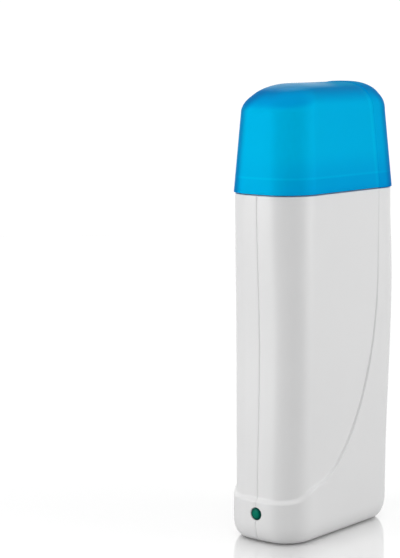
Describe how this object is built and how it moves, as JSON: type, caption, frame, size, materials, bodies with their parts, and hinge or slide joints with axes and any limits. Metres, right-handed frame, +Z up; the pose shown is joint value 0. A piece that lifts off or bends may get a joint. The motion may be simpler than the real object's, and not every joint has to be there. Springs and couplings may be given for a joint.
{
  "type": "roll-on wax heater",
  "caption": "Upright hand-held heater for roll-on wax refills: a slim white two-shell casing with a recessed front panel, an open aluminium well and a translucent lift-off cap.",
  "frame": {"origin": "middle of the base, on the surface that the heater stands on", "axes": "+Z up towards the cap, -Y towards the front side with the indicator, X across the two broad sides"},
  "size_m": [0.0412, 0.0851, 0.2],
  "materials": {
    "white_abs": "satin moulded white plastic",
    "azure_cap": "translucent azure plastic, smooth",
    "collar_plastic": "heat-resistant white plastic",
    "base_plastic": "moulded white plastic, fine texture",
    "screw_steel": "zinc plated",
    "foot_rubber": "soft black rubber",
    "well_aluminium": "drawn sheet, satin",
    "mica": "pressed mica sheet",
    "case_aluminium": "extruded",
    "ptc_ceramic": "fired, matt",
    "electrode_brass": "stamped strip",
    "film_amber": "amber polyimide film",
    "spring_steel": "rolled strip",
    "fuse_metal": "drawn can",
    "sleeve_fibre": "varnished glass-fibre braid",
    "lens_green": "clear green plastic",
    "lamp_glass": "clear glass",
    "resistor_coat": "dipped coating",
    "inlet_black": "black moulded plastic",
    "pin_brass": "nickel plated",
    "wire_brown": "brown insulation",
    "wire_blue": "blue insulation",
    "wire_white": "white silicone insulation",
    "wire_black": "black insulation",
    "crimp_red": "red insulated crimp"
  },
  "bodies": {
    "casing": {"left_shell": "white_abs", "right_shell": "white_abs", "neck_collar": "collar_plastic", "base_plate": "base_plastic", "base_screws": "screw_steel", "rubber_feet": "foot_rubber", "heater_well": "well_aluminium", "insulation_sheets": "mica", "ptc_case": "case_aluminium", "ptc_stones": "ptc_ceramic", "ptc_electrodes": "electrode_brass", "ptc_film": "film_amber", "leaf_spring": "spring_steel", "thermal_fuse": "fuse_metal", "fuse_sleeve": "sleeve_fibre", "fuse_clip": "spring_steel", "indicator_lens": "lens_green", "neon_lamp": "lamp_glass", "lamp_resistor": "resistor_coat", "lamp_wires": "wire_black", "inlet_housing": "inlet_black", "inlet_pins": "pin_brass", "live_wire": "wire_brown", "neutral_wire": "wire_blue", "fuse_wire": "wire_brown", "heater_wires": "wire_white", "crimp_sleeves": "crimp_red"},
    "cap": {"cap": "azure_cap"}
  },
  "joints": [
    {"name": "cap_lift", "type": "slide", "parent": "casing", "child": "cap", "axis": [0, 0, 1], "range_m": [0, 0.07]}
  ]
}
